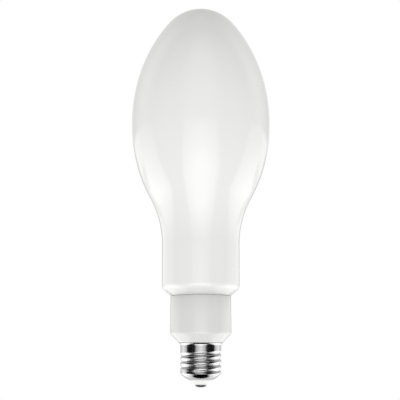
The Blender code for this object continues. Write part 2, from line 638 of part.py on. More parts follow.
def make_wires(root):
    """Live and neutral wires down to the base, and the glass's two lead-in wires."""
    red = finish("red_wire_sleeve", (0.45, 0.03, 0.02), 0.45)
    run_y = -(STORAGE_CAN_RADIUS + PART_GAP)
    live_low_z = RIVET_TOP_Z + FIT
    wire("live_wire", [(0, run_y, UNDER_BOARD_Z), (0, run_y, (UNDER_BOARD_Z + SLEEVE_FOOT_Z) / 2),
                       (0, run_y, SLEEVE_FOOT_Z), (0, run_y / 2, (SLEEVE_FOOT_Z + live_low_z) / 2),
                       (0, 0, live_low_z + 4 * WIRE_RADIUS), (0, 0, live_low_z)],
         WIRE_RADIUS, red, parent=root)
    black = finish("black_wire_sleeve", (0.03, 0.03, 0.03), 0.45)
    slot_z = wire_slot_z()
    down_radius = SLEEVE_BORE - FIT - 2 * WIRE_RADIUS
    bend = 3 * WIRE_RADIUS
    stops = [(down_radius, UNDER_BOARD_Z), (down_radius, SHELL_TOP_Z), (down_radius, slot_z + bend),
             (down_radius + WIRE_RADIUS, slot_z + WIRE_RADIUS), (SLEEVE_BORE, slot_z),
             (SLEEVE_RADIUS, slot_z)]
    wire("neutral_wire", [around(radius, WIRE_SLOT_TURN, z) for radius, z in stops],
         WIRE_RADIUS, black, parent=root)
    dumet = finish("lead_in_metal", (0.60, 0.42, 0.30), 0.3, 1.0)
    rim_z = seat_z(GLASS_STUB_RADIUS) - GLASS_STUB_LENGTH + GLASS_RIM_THICKNESS / 2
    pinch_z = rim_z + GLASS_FUNNEL_HEIGHT - FIT
    for name, side in (("lead_in_positive", 1), ("lead_in_negative", -1)):
        y = side * LEAD_IN_SPACING / 2
        wire(name, [(0, y, OVER_BOARD_Z), (0, y * 1.2, (OVER_BOARD_Z + pinch_z) / 2), (0, y, pinch_z)],
             LEAD_IN_RADIUS, dumet, per_stretch=3, parent=root)


def make_lamp():
    """Build every piece under one empty at the origin."""
    clear_scene()
    root = bpy.data.objects.new("lamp_axis", None)
    bpy.context.scene.collection.objects.link(root)
    make_glass(root)
    make_bonding_ring(root)
    make_collar(root)
    make_screw_shell(root)
    make_insulator(root)
    make_contact(root)
    make_board(root)
    make_cans(root)
    make_choke(root)
    make_top_parts(root)
    make_under_parts(root)
    make_wires(root)


make_lamp()
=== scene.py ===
"""Looks of the opal LED filament lamp: fine surfaces, finishes, studio light and camera.

Five CAD nodes show from outside. Each is replaced by a fine surface on the same sizes.
The pieces inside the collar and the screw shell keep their CAD shapes and get their finishes.
All places are in metres in the CAD frame: the origin is under the centre contact, +Z is the axis.
"""

import math

import bmesh
import bpy
import numpy as np
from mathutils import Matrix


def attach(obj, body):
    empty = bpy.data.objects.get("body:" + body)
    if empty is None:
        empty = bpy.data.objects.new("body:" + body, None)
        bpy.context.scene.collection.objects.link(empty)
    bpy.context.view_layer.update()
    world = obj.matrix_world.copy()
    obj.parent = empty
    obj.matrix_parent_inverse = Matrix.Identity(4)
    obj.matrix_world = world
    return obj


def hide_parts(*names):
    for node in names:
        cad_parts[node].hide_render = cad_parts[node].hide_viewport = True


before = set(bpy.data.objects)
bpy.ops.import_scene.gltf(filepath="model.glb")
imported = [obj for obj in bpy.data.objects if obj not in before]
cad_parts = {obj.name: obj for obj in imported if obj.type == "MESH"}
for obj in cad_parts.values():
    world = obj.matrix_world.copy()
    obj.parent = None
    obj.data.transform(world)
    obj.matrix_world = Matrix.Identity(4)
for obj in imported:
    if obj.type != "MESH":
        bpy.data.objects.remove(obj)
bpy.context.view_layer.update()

# Sizes of the part, in metres, as in its CAD source
FIT = 0.0003
CONTACT_RADIUS = 0.0037
CONTACT_HEIGHT = 0.0015
CONTACT_LAND_RADIUS = 0.0022
RIVET_RADIUS = 0.0013
RIVET_STAND = 0.0008
INSULATOR_NOSE_RADIUS = 0.0062
INSULATOR_NECK_RADIUS = 0.0082
INSULATOR_CONE_HEIGHT = 0.0029
INSULATOR_NECK_HEIGHT = 0.0007
INSULATOR_DEPTH = 0.0036
INSULATOR_EDGE_RADIUS = 0.0004
SHEET = 0.0003
THREAD_CREST_RADIUS = 0.0132
THREAD_DEPTH = 0.00085
THREAD_CREST_SHARE = 0.64
THREAD_PITCH = 0.003629
THREAD_TURNS = 3.7
THREAD_START_TURN = -0.41
THREAD_FADE_TURNS = 0.22
SHELL_RIM_HEIGHT = 0.0054
SHELL_FLARE_RADIUS = 0.0032
SHELL_FLARE_ANGLE = math.radians(48)
SHELL_BELL_POWER = 4
SHELL_FOOT_RADIUS = 0.0032
SHELL_FOOT_ANGLE = math.radians(58)
SHELL_LIP_RADIUS = 0.0089
FOOT_CORNER_RADIUS = 0.0004
FOOT_CORNER_ANGLE = math.radians(38)
FOOT_RISE = 0.0037
COLLAR_WALL = 0.0016
COLLAR_BASE_RADIUS = 0.0198
COLLAR_TOP_RADIUS = 0.0194
COLLAR_CONE_HEIGHT = 0.0056
COLLAR_HEIGHT = 0.0239
COLLAR_EDGE_RADIUS = 0.0012
COLLAR_EASE_RADIUS = 0.0070
COLLAR_EASE_ANGLE = math.radians(11)
COLLAR_RIM_RADIUS = 0.0003
LEDGE_RISE = 0.0042
LEDGE_WIDTH = 0.0014
SLEEVE_WALL = 0.0012
SLEEVE_LENGTH = 0.0106
GLASS_BULGE_RADIUS = 0.0439
GLASS_BULGE_BAND = 0.0020
GLASS_CAP_RADIUS = 0.0286
GLASS_UPPER_RADIUS = 0.0970
GLASS_LOWER_RADIUS = 0.0920
GLASS_WAIST_RADIUS = 0.0620
GLASS_NECK_RADIUS = 0.0248
GLASS_NECK_FLARE = 0.0001
GLASS_NECK_LENGTH = 0.0261
GLASS_SHOULDER_RADIUS = 0.0047
GLASS_SHOULDER_TURN = math.radians(50)
GLASS_STUB_RADIUS = 0.0158
GLASS_STUB_LENGTH = 0.0115
GLASS_RIM_THICKNESS = 0.0022
GLASS_FUNNEL_HEIGHT = 0.0170
GLASS_PINCH_RADIUS = 0.0062
GLASS_TIP_RADIUS = 0.0020
GLASS_TIP_LENGTH = 0.0090

# Heights that follow from them
LIP_Z = CONTACT_HEIGHT + INSULATOR_CONE_HEIGHT + INSULATOR_NECK_HEIGHT
FOOT_CONE_TOP_RADIUS = THREAD_CREST_RADIUS - SHELL_FOOT_RADIUS * (1 - math.cos(SHELL_FOOT_ANGLE))
FOOT_CONE_TOP_Z = LIP_Z + (FOOT_CONE_TOP_RADIUS - SHELL_LIP_RADIUS) / math.tan(SHELL_FOOT_ANGLE)
FOOT_TOP_Z = FOOT_CONE_TOP_Z + SHELL_FOOT_RADIUS * math.sin(SHELL_FOOT_ANGLE)
THREAD_TOP_Z = FOOT_TOP_Z + THREAD_TURNS * THREAD_PITCH
SHELL_TOP_Z = THREAD_TOP_Z + SHELL_RIM_HEIGHT
FLARE_Z = SHELL_TOP_Z - SHELL_FLARE_RADIUS * math.sin(SHELL_FLARE_ANGLE)
COLLAR_FOOT_TURN = SHELL_FLARE_ANGLE + FIT / SHELL_FLARE_RADIUS
COLLAR_FOOT_RADIUS = THREAD_CREST_RADIUS + SHELL_FLARE_RADIUS * (1 - math.cos(COLLAR_FOOT_TURN))
COLLAR_FOOT_Z = FLARE_Z + SHELL_FLARE_RADIUS * math.sin(COLLAR_FOOT_TURN)
COLLAR_EDGE_Z = COLLAR_FOOT_Z + COLLAR_CONE_HEIGHT
COLLAR_TOP_Z = COLLAR_EDGE_Z + COLLAR_HEIGHT
SEAT_SLOPE = 1 / math.tan(GLASS_SHOULDER_TURN)
SEAT_GAP = FIT / math.sin(GLASS_SHOULDER_TURN)

# Fineness of the surfaces
TURN_STEPS = 160
SHELL_TURN_STEPS = 144
CONTACT_TURN_STEPS = 72
THREAD_ROWS_PER_PITCH = 22
MERGE_DISTANCE = 1e-7
SHARP_ANGLE = math.radians(40)


# Shapes

def arc(centre, radius, start, end, steps):
    """Points centre + radius * (cos a, sin a) in the (radius, height) plane, a from start to end."""
    a = np.linspace(start, end, steps + 1)
    return np.column_stack((centre[0] + radius * np.cos(a), centre[1] + radius * np.sin(a)))


def surface(name, radius, height, material, closed):
    """A surface of revolution whose radius may change with the angle.

    radius and height are grids, one row for each point of the outline and one column for each
    angle a. A vertex is (radius * cos a, radius * sin a, height). Columns join round the axis, and
    a closed outline's last row joins its first. Rows on the axis are merged into one pole.
    """
    rows, columns = radius.shape
    a = np.arange(columns) * 2 * math.pi / columns
    points = np.stack((radius * np.cos(a), radius * np.sin(a), height), axis=-1).reshape(-1, 3)
    row = np.arange(rows if closed else rows - 1)[:, None]
    column = np.arange(columns)[None, :]
    next_row = (row + 1) % rows * columns
    next_column = (column + 1) % columns
    faces = np.stack((row * columns + column, row * columns + next_column,
                      next_row + next_column, next_row + column), axis=-1).reshape(-1, 4)
    mesh = bpy.data.meshes.new(name)
    mesh.from_pydata(points.tolist(), [], faces.tolist())
    bm = bmesh.new()
    bm.from_mesh(mesh)
    bmesh.ops.remove_doubles(bm, verts=bm.verts[:], dist=MERGE_DISTANCE)
    bm.to_mesh(mesh)
    bm.free()
    mesh.shade_smooth()
    mesh.set_sharp_from_angle(angle=SHARP_ANGLE)
    piece = bpy.data.objects.new(name, mesh)
    bpy.context.scene.collection.objects.link(piece)
    mesh.materials.append(material)
    return piece


def turned(name, outline, material, closed=False, steps=TURN_STEPS):
    """The outline's points carried once round the axis, at the same radius and height all round."""
    outline = np.asarray(outline, dtype=float)
    radius = np.repeat(outline[:, :1], steps, axis=1)
    height = np.repeat(outline[:, 1:], steps, axis=1)
    return surface(name, radius, height, material, closed)


def seat_z(radius):
    """Height of the glass's conical underside over the collar's sloped rim."""
    return COLLAR_TOP_Z + SEAT_GAP + (radius - COLLAR_TOP_RADIUS) * SEAT_SLOPE


def glass_outline():
    """Outline of the sealed glass, from the exhaust tip on the axis to the top on the axis.

    It runs out over the tip and the funnel, round the fused rim, up the stub and the cone to the
    shoulder, then along four arcs that meet with one tangent: waist, lower, upper and cap. Where two
    of them meet, the cosine of the turn is the distance of their centres across over their distance
    in all. The straight neck and the short band round the bulge are the gaps between the arcs.
    """
    rim_round = GLASS_RIM_THICKNESS / 2
    rim_z = seat_z(GLASS_STUB_RADIUS) - GLASS_STUB_LENGTH + rim_round
    pinch_z = rim_z + GLASS_FUNNEL_HEIGHT
    tip = arc((0, pinch_z - GLASS_TIP_LENGTH), GLASS_TIP_RADIUS, -math.pi / 2, 0, steps=10)
    rim = arc((GLASS_STUB_RADIUS - rim_round, rim_z), rim_round, -math.pi, 0, steps=16)
    shoulder_x = GLASS_NECK_RADIUS + GLASS_NECK_FLARE - GLASS_SHOULDER_RADIUS
    cone_end_x = shoulder_x + GLASS_SHOULDER_RADIUS * math.cos(GLASS_SHOULDER_TURN)
    shoulder_z = seat_z(cone_end_x) + GLASS_SHOULDER_RADIUS * math.sin(GLASS_SHOULDER_TURN)
    shoulder = arc((shoulder_x, shoulder_z), GLASS_SHOULDER_RADIUS, -GLASS_SHOULDER_TURN, 0, steps=16)
    waist_z = shoulder_z + GLASS_NECK_LENGTH
    across = GLASS_NECK_RADIUS + GLASS_WAIST_RADIUS - (GLASS_BULGE_RADIUS - GLASS_LOWER_RADIUS)
    reach = GLASS_LOWER_RADIUS + GLASS_WAIST_RADIUS
    bulge_z = waist_z + math.sqrt(reach ** 2 - across ** 2)
    waist_turn = math.acos(across / reach)
    waist = arc((GLASS_NECK_RADIUS + GLASS_WAIST_RADIUS, waist_z), GLASS_WAIST_RADIUS,
                math.pi, math.pi - waist_turn, steps=20)
    lower = arc((GLASS_BULGE_RADIUS - GLASS_LOWER_RADIUS, bulge_z), GLASS_LOWER_RADIUS,
                -waist_turn, 0, steps=30)
    band_z = bulge_z + GLASS_BULGE_BAND
    upper_x = GLASS_BULGE_RADIUS - GLASS_UPPER_RADIUS
    cap_turn = math.acos(-upper_x / (GLASS_UPPER_RADIUS - GLASS_CAP_RADIUS))
    cap_z = band_z - upper_x * math.tan(cap_turn)
    upper = arc((upper_x, band_z), GLASS_UPPER_RADIUS, 0, cap_turn, steps=30)
    cap = arc((0, cap_z), GLASS_CAP_RADIUS, cap_turn, math.pi / 2, steps=30)
    cap[-1, 0] = 0
    tip[0, 0] = 0
    return np.vstack((tip, [(GLASS_TIP_RADIUS, pinch_z), (GLASS_PINCH_RADIUS, pinch_z)], rim,
                      [(GLASS_STUB_RADIUS, seat_z(GLASS_STUB_RADIUS))], shoulder,
                      waist, lower[1:], upper, cap[1:]))


def collar_outline():
    """Closed outline of the moulded collar: flared seat, cone, drafted wall, sloped rim, and inside.

    The edge over the cone is eased: a small arc turns from the cone to the ease angle, and a large
    one, with the same tangent there, turns from that angle to upright, where it meets the wall.
    """
    cone_slope = COLLAR_CONE_HEIGHT / (COLLAR_BASE_RADIUS - COLLAR_FOOT_RADIUS)
    wall_across_cone = COLLAR_WALL * math.hypot(1, 1 / cone_slope)
    cone_turn = math.atan(1 / cone_slope)
    edge_x = (COLLAR_BASE_RADIUS - COLLAR_EASE_RADIUS * (1 - math.cos(COLLAR_EASE_ANGLE))
              - COLLAR_EDGE_RADIUS * math.cos(COLLAR_EASE_ANGLE))
    edge_z = (COLLAR_EDGE_Z + ((edge_x - COLLAR_BASE_RADIUS) * math.cos(cone_turn) + COLLAR_EDGE_RADIUS)
              / math.sin(cone_turn))
    edge = arc((edge_x, edge_z), COLLAR_EDGE_RADIUS, -cone_turn, -COLLAR_EASE_ANGLE, steps=10)
    reach = COLLAR_EASE_RADIUS - COLLAR_EDGE_RADIUS
    eased = arc((edge_x - reach * math.cos(COLLAR_EASE_ANGLE),
                 edge_z + reach * math.sin(COLLAR_EASE_ANGLE)),
                COLLAR_EASE_RADIUS, -COLLAR_EASE_ANGLE, 0, steps=8)
    rim = arc((COLLAR_TOP_RADIUS - COLLAR_RIM_RADIUS, COLLAR_TOP_Z - COLLAR_RIM_RADIUS),
              COLLAR_RIM_RADIUS, 0, math.pi / 2 + math.atan(SEAT_SLOPE), steps=8)
    bore = COLLAR_TOP_RADIUS - COLLAR_WALL
    ledge_z = COLLAR_EDGE_Z + LEDGE_RISE
    ledge_bore = bore - LEDGE_WIDTH
    register_radius = THREAD_CREST_RADIUS - SHEET - FIT
    register_z = SHELL_TOP_Z - (SHELL_RIM_HEIGHT - THREAD_PITCH / 2 - FIT)
    sleeve_radius = register_radius - THREAD_DEPTH
    sleeve_bore = sleeve_radius - SLEEVE_WALL
    sleeve_foot_z = SHELL_TOP_Z - SLEEVE_LENGTH

    def inner_cone_z(radius):
        return COLLAR_FOOT_Z + (radius + wall_across_cone - COLLAR_FOOT_RADIUS) * cone_slope

    inside = [(bore, COLLAR_TOP_Z - (COLLAR_TOP_RADIUS - bore) * SEAT_SLOPE), (bore, ledge_z),
              (ledge_bore, ledge_z), (ledge_bore, inner_cone_z(ledge_bore)),
              (sleeve_bore, inner_cone_z(sleeve_bore)), (sleeve_bore, sleeve_foot_z),
              (sleeve_radius, sleeve_foot_z), (sleeve_radius, register_z),
              (register_radius, register_z)]
    seat = arc((THREAD_CREST_RADIUS + SHELL_FLARE_RADIUS, FLARE_Z), SHELL_FLARE_RADIUS + (SHEET + FIT),
               math.pi, math.pi - COLLAR_FOOT_TURN, steps=16)
    return np.vstack((seat, [(COLLAR_FOOT_RADIUS, COLLAR_FOOT_Z)], edge, eased[1:], rim, inside))


def ease(share):
    """3 s^2 - 2 s^3 for a share s kept between 0 and 1."""
    share = np.clip(share, 0, 1)
    return share * share * (3 - 2 * share)


def groove_depth(angle, z):
    """How far the rolled thread lies inside the crest radius.

    d is the distance along the axis from the middle of the nearest groove, which climbs one pitch
    in a turn. The section is two arcs that meet with one tangent: depth - (R - sqrt(R^2 - d^2)) in
    the root and C - sqrt(C^2 - (pitch/2 - d)^2) on the crest. Over the fade turns at both ends it is
    multiplied by 3 s^2 - 2 s^3 of the share s that has been run.
    """
    half = THREAD_PITCH / 2
    flank = 2 * math.atan(THREAD_DEPTH / half)
    crest_radius = THREAD_CREST_SHARE * half / math.sin(flank)
    root_radius = (1 - THREAD_CREST_SHARE) * half / math.sin(flank)
    turn = angle / (2 * math.pi)
    climbed = (z - FOOT_TOP_Z) / THREAD_PITCH + THREAD_START_TURN - turn
    nearest = np.round(climbed)
    off_middle = np.abs(climbed - nearest) * THREAD_PITCH
    off_crest = half - off_middle
    off_middle = np.minimum(off_middle, root_radius)
    root = THREAD_DEPTH - root_radius + np.sqrt(root_radius ** 2 - off_middle ** 2)
    crest = crest_radius - np.sqrt(crest_radius ** 2 - np.minimum(off_crest, crest_radius) ** 2)
    depth = np.where(off_crest < THREAD_CREST_SHARE * half, crest, root)
    run = turn + nearest - THREAD_START_TURN
    return depth * ease(run / THREAD_FADE_TURNS) * ease((THREAD_TURNS - run) / THREAD_FADE_TURNS)


def shell_foot():
    """The turned-in foot, from the lip up to the wall: a bowed line, then a small corner arc.

    For a share s from 0 to 1 the line is lip + s * chord + 2 s (1 - s) * outward, where outward is
    square to the chord. Its middle stands out as far as an arc's would that turns by the angle bow,
    so it runs into the corner arc without a kink.
    """
    lip = (SHELL_LIP_RADIUS, LIP_Z)
    corner_z = LIP_Z + FOOT_RISE + FOOT_CORNER_RADIUS * math.sin(FOOT_CORNER_ANGLE)
    corner = arc((THREAD_CREST_RADIUS - FOOT_CORNER_RADIUS, corner_z), FOOT_CORNER_RADIUS,
                 -FOOT_CORNER_ANGLE, 0, steps=10)
    corner[-1, 0] = THREAD_CREST_RADIUS
    chord = corner[0] - lip
    bow = 2 * (math.atan2(chord[0], chord[1]) - FOOT_CORNER_ANGLE)
    outward = np.array((chord[1], -chord[0])) * math.tan(bow / 4)
    share = np.linspace(0, 1, 13)[:, None]
    line = lip + share * chord + 2 * share * (1 - share) * outward
    return np.vstack((line[:-1], corner))


def shell_bell():
    """The flared top: crest radius + swell * s^p for a share s of its height, and p the bell power."""
    swell = SHELL_FLARE_RADIUS * (1 - math.cos(SHELL_FLARE_ANGLE))
    height = SHELL_FLARE_RADIUS * math.sin(SHELL_FLARE_ANGLE)
    share = np.linspace(0, 1, 17)[:, None]
    return np.hstack((THREAD_CREST_RADIUS + swell * share ** SHELL_BELL_POWER,
                      FLARE_Z + height * share))


def screw_shell(material):
    """The rolled shell: an outer surface r(a, z) = outline - groove depth, and an inner one.

    The inner surface lies one sheet thickness inside it, along the section's own normal. The two
    are one closed outline, up the outside and down the inside.
    """
    row = THREAD_PITCH / THREAD_ROWS_PER_PITCH
    wall_z = np.arange(FOOT_TOP_Z + row, FLARE_Z - row, row)
    wall = np.column_stack((np.full(len(wall_z), THREAD_CREST_RADIUS), wall_z))
    outline = np.vstack((shell_foot(), wall, shell_bell()))
    angle = np.arange(SHELL_TURN_STEPS) * 2 * math.pi / SHELL_TURN_STEPS
    angle = np.where(angle > math.pi, angle - 2 * math.pi, angle)[None, :]
    height = np.repeat(outline[:, 1:], SHELL_TURN_STEPS, axis=1)
    radius = outline[:, :1] - groove_depth(angle, height)
    run_r = np.gradient(radius, axis=0)
    run_z = np.gradient(height, axis=0)
    length = np.hypot(run_r, run_z)
    inner_radius = radius - SHEET * run_z / length
    inner_height = height + SHEET * run_r / length
    return surface("shell_of_rolled_sheet", np.vstack((radius, inner_radius[::-1])),
                   np.vstack((height, inner_height[::-1])), material, closed=True)


def insulator_outline():
    """Closed outline of the insulator: nose, cone, neck in the lip, flange, and rivet bore."""
    bore = RIVET_RADIUS + FIT
    slope = math.tan(SHELL_FOOT_ANGLE)
    clear = (SHEET + FIT) / math.sin(SHELL_FOOT_ANGLE)
    reach = FOOT_CONE_TOP_RADIUS - SHEET - FIT
    top_z = LIP_Z + INSULATOR_DEPTH
    nose_z = CONTACT_HEIGHT + FIT
    nose = arc((INSULATOR_NOSE_RADIUS - INSULATOR_EDGE_RADIUS, nose_z + INSULATOR_EDGE_RADIUS),
               INSULATOR_EDGE_RADIUS, -math.pi / 2, 0, steps=8)

    def flange_z(radius):
        return LIP_Z + clear + (radius - SHELL_LIP_RADIUS + FIT) / slope

    neck = INSULATOR_NECK_RADIUS
    back = [(neck, LIP_Z - INSULATOR_NECK_HEIGHT), (neck, flange_z(neck)), (reach, flange_z(reach)),
            (reach, top_z), (bore, top_z)]
    return np.vstack(([(bore, nose_z)], nose, back))


def contact_outline():
    """Outline of the contact: flat land, dome, back, and the rivet above it.

    The dome is a quarter of an ellipse: land + (edge - land) * sin t across and height * (1 - cos t)
    up, with t from 0 to a quarter turn.
    """
    t = np.linspace(0, 1, 15)[:, None] * math.pi / 2
    dome = np.hstack((CONTACT_LAND_RADIUS + (CONTACT_RADIUS - CONTACT_LAND_RADIUS) * np.sin(t),
                      CONTACT_HEIGHT * (1 - np.cos(t))))
    rivet_top_z = LIP_Z + INSULATOR_DEPTH + RIVET_STAND
    return np.vstack(([(0, 0)], dome, [(RIVET_RADIUS, CONTACT_HEIGHT), (RIVET_RADIUS, rivet_top_z),
                                       (0, rivet_top_z)]))


# Materials

def linear(hex_colour):
    """An sRGB hex colour as linear red, green, blue and alpha."""
    parts = [int(hex_colour[i:i + 2], 16) / 255 for i in (1, 3, 5)]
    return [p / 12.92 if p <= 0.04045 else ((p + 0.055) / 1.055) ** 2.4 for p in parts] + [1.0]


def add_node(tree, kind, inputs=(), **settings):
    """Add a node, set its own settings, and set or link its inputs, given as (socket, value)."""
    node = tree.nodes.new(kind)
    for key, value in settings.items():
        setattr(node, key, value)
    for socket, value in inputs:
        if isinstance(value, bpy.types.NodeSocket):
            tree.links.new(value, node.inputs[socket])
        else:
            node.inputs[socket].default_value = value
    return node


def calculate(tree, operation, *values):
    """The result of one Math node on these numbers or sockets."""
    return add_node(tree, "ShaderNodeMath", enumerate(values), operation=operation).outputs[0]


def level_at(tree, value, pairs):
    """Level at a value, given as (value, level) pairs: straight between them and level outside."""
    low, high = pairs[0][0], pairs[-1][0]
    top = max(level for _, level in pairs)
    share = add_node(tree, "ShaderNodeMapRange", [
        ("Value", value), ("From Min", low), ("From Max", high)])
    ramp = add_node(tree, "ShaderNodeValToRGB", [("Fac", share.outputs["Result"])])
    stops = ramp.color_ramp.elements
    while len(stops) < len(pairs):
        stops.new(0.5)      # each stop gets its real place below
    for stop, (at, level) in zip(stops, pairs):
        stop.position = (at - low) / (high - low)
        stop.color = (level / top, level / top, level / top, 1)
    return calculate(tree, "MULTIPLY", ramp.outputs["Color"], top)


def new_material(name):
    """A new material and its emptied node tree."""
    made = bpy.data.materials.new(name)
    made.use_nodes = True
    made.node_tree.nodes.clear()
    return made, made.node_tree


def grained(name, light, dark, grain_mm, rough, bump_mm, shader=(), pattern="ShaderNodeTexNoise",
            pattern_inputs=(("Detail", 3.0),), shade=((0, 1), (1, 1)), **settings):
    """A finish whose colour, roughness and relief follow one pattern in Object coordinates.

    light and dark are the two colours it runs between, grain_mm is the pattern's real size, rough
    is the lowest and highest roughness, and bump_mm is the depth of its relief. shade holds pairs of
    height and the share of the colour's brightness that is left there: a painted shade by height.
    """
    made, tree = new_material(name)
    place = add_node(tree, "ShaderNodeTexCoord")
    texture = add_node(tree, pattern, [("Vector", place.outputs["Object"]), ("Scale", 1000 / grain_mm),
                                       *pattern_inputs], **settings)
    value = texture.outputs["Fac"] if "Fac" in texture.outputs else texture.outputs["Distance"]
    colour = add_node(tree, "ShaderNodeMix", [("Factor", value), (6, linear(dark)), (7, linear(light))],
                      data_type="RGBA")
    axes = add_node(tree, "ShaderNodeSeparateXYZ", [("Vector", place.outputs["Object"])])
    # Painted shade: the colour darkened by height, as the shade table gives
    shaded = add_node(tree, "ShaderNodeHueSaturation", [
        ("Color", colour.outputs[2]), ("Value", level_at(tree, axes.outputs["Z"], shade))])
    gloss = add_node(tree, "ShaderNodeMapRange", [
        ("Value", value), ("To Min", rough[0]), ("To Max", rough[1])])
    relief = add_node(tree, "ShaderNodeBump", [("Height", value), ("Distance", bump_mm / 1000)])
    skin = add_node(tree, "ShaderNodeBsdfPrincipled", [
        ("Base Color", shaded.outputs["Color"]), ("Roughness", gloss.outputs["Result"]),
        ("Normal", relief.outputs["Normal"]), *shader])
    add_node(tree, "ShaderNodeOutputMaterial", [("Surface", skin.outputs["BSDF"])])
    return made


def rolled_nickel(name, light, dark, wave_mm, bump_mm, rough):
    """A bright metal whose colour and relief follow slow waves, and its roughness the height.

    light and dark are the two colours it runs between, wave_mm is the real size of the waves and
    bump_mm their depth. rough holds pairs of height and roughness.
    """
    made, tree = new_material(name)
    place = add_node(tree, "ShaderNodeTexCoord")
    waves = add_node(tree, "ShaderNodeTexNoise", [
        ("Vector", place.outputs["Object"]), ("Scale", 1000 / wave_mm), ("Detail", 3.0)])
    colour = add_node(tree, "ShaderNodeMix", [
        ("Factor", waves.outputs["Fac"]), (6, linear(dark)), (7, linear(light))], data_type="RGBA")
    axes = add_node(tree, "ShaderNodeSeparateXYZ", [("Vector", place.outputs["Object"])])
    relief = add_node(tree, "ShaderNodeBump", [
        ("Height", waves.outputs["Fac"]), ("Distance", bump_mm / 1000)])
    skin = add_node(tree, "ShaderNodeBsdfPrincipled", [
        ("Base Color", colour.outputs[2]), ("Roughness", level_at(tree, axes.outputs["Z"], rough)),
        ("Normal", relief.outputs["Normal"]), ("Metallic", 1.0)])
    add_node(tree, "ShaderNodeOutputMaterial", [("Surface", skin.outputs["BSDF"])])
    return made


# Opal glass: blown, white inside. Smooth gloss over a milky body, with the faint ripple of blowing.
# Painted shade: the colour is darkened down to the sealed joint, where little light comes in between
# glass and collar.
opal_glass = grained("opal_glass_blown", "#F4F4F3", "#F1F1F0", 40, (0.050, 0.065), 0.02,
                     [("IOR", 1.5), ("Specular IOR Level", 0.75)],
                     shade=((COLLAR_TOP_Z, 0.62), (COLLAR_TOP_Z + 0.0008, 0.76),
                            (COLLAR_TOP_Z + 0.0015, 0.85), (COLLAR_TOP_Z + 0.0026, 0.91),
                            (COLLAR_TOP_Z + 0.0050, 1.0)))
# PBT moulding: satin white, with an even spark-eroded grain that softens reflections. The real grain
# is finer than 0.1 mm and is drawn at 0.45 mm to show. Painted shade: the colour is darkened up to the
# joint, under the glass, where little light comes in.
white_moulding = grained("pbt_moulded_white", "#E7E7E6", "#E2E2E1", 0.45, (0.14, 0.20), 0.004,
                         [("IOR", 1.52), ("Specular IOR Level", 0.75)],
                         shade=((COLLAR_TOP_Z - 0.0120, 1.0), (COLLAR_TOP_Z - 0.0060, 0.96),
                                (COLLAR_TOP_Z - 0.0024, 0.91), (COLLAR_TOP_Z, 0.84)))
# Nickel-plated brass sheet: bright, with slight waves from the rolls. The rolled thread and rim are a
# little duller than the burnished foot.
nickel = rolled_nickel("nickel_plated_rolled_sheet", "#D7D7D8", "#D1D1D3", 6, 0.004,
                       rough=((FOOT_TOP_Z - 0.0006, 0.10), (FOOT_TOP_Z + 0.0006, 0.25),
                              (THREAD_TOP_Z - 0.0010, 0.25), (THREAD_TOP_Z, 0.16)))
# Glazed ceramic: white and smooth, a little softer than glass.
ceramic = grained("white_glazed_ceramic", "#F9F9F8", "#F5F5F4", 1.2, (0.18, 0.26), 0.004,
                  [("IOR", 1.5)])
# Solder on brass: dull grey, with the soft dimples of cooled solder.
solder = grained("dull_tin_solder", "#858587", "#66666A", 1.1, (0.28, 0.42), 0.05, [("Metallic", 1.0)])
# Silicone bond: matt white with small pits.
silicone = grained("white_silicone_bond", "#E2E2DF", "#D2D2CE", 0.8, (0.55, 0.7), 0.05)
# Solder mask on glass fibre: green, with the weave just showing, drawn at 0.6 mm to show.
green_board = grained("green_solder_mask", "#1F6B33", "#14522A", 0.6, (0.3, 0.45), 0.01,
                      pattern="ShaderNodeTexVoronoi", pattern_inputs=(("Randomness", 0.15),))
# PVC sleeves of the two cans: shrunk on, satin, with faint marks of shrinking.
black_sleeve = grained("black_pvc_sleeve", "#25262A", "#191A1D", 1.5, (0.25, 0.4), 0.01)
blue_sleeve = grained("blue_pvc_sleeve", "#1F3F7A", "#17305F", 1.5, (0.25, 0.4), 0.01)
# Ferrite: sintered, dark grey and grainy. The grains are drawn at 0.25 mm to show.
ferrite = grained("sintered_ferrite", "#46464A", "#333338", 0.25, (0.6, 0.8), 0.02)
# Enamelled copper wire, wound: a ridge for each 0.3 mm turn.
copper = grained("enamelled_copper_winding", "#C06A35", "#7A3416", 0.3, (0.22, 0.4), 0.05,
                 [("Metallic", 1.0)], pattern="ShaderNodeTexWave",
                 pattern_inputs=(("Distortion", 0.6), ("Detail", 1.0)), bands_direction="Z")
# Epoxy mouldings: near black with a fine matt grain, drawn at 0.2 mm to show.
black_epoxy = grained("black_moulded_epoxy", "#26262A", "#1A1A1D", 0.2, (0.45, 0.6), 0.01)
# Thick-film chip resistors: dark glaze over ceramic.
chip_glaze = grained("resistor_glaze", "#3A3531", "#2A2623", 0.3, (0.3, 0.5), 0.01)
# Cement coat of the fusible resistor: pale blue-grey and slightly rough.
fuse_coat = grained("fusible_resistor_coat", "#7C97AB", "#66819A", 0.4, (0.45, 0.6), 0.03)
# Boxed film capacitor: yellow moulded case with a satin skin.
yellow_case = grained("yellow_moulded_case", "#D9B23A", "#C79F2C", 0.5, (0.3, 0.42), 0.01)
# Varistor: dipped blue coat, thick and rounded, with a slow ripple.
blue_coat = grained("blue_dipped_coat", "#2E62A8", "#214E8C", 1.6, (0.25, 0.4), 0.05)
# PVC wire insulation: smooth with a slight drag of extrusion.
red_wire = grained("red_pvc_insulation", "#B3261E", "#971D17", 0.7, (0.35, 0.5), 0.01)
black_wire = grained("black_pvc_insulation", "#2A2A2C", "#1B1B1D", 0.7, (0.35, 0.5), 0.01)
# Copper-clad lead-in wire: warm metal, dulled by the sealing flame.
lead_in = grained("copper_clad_lead_in", "#C79A78", "#A27355", 0.6, (0.25, 0.4), 0.01,
                  [("Metallic", 1.0)])

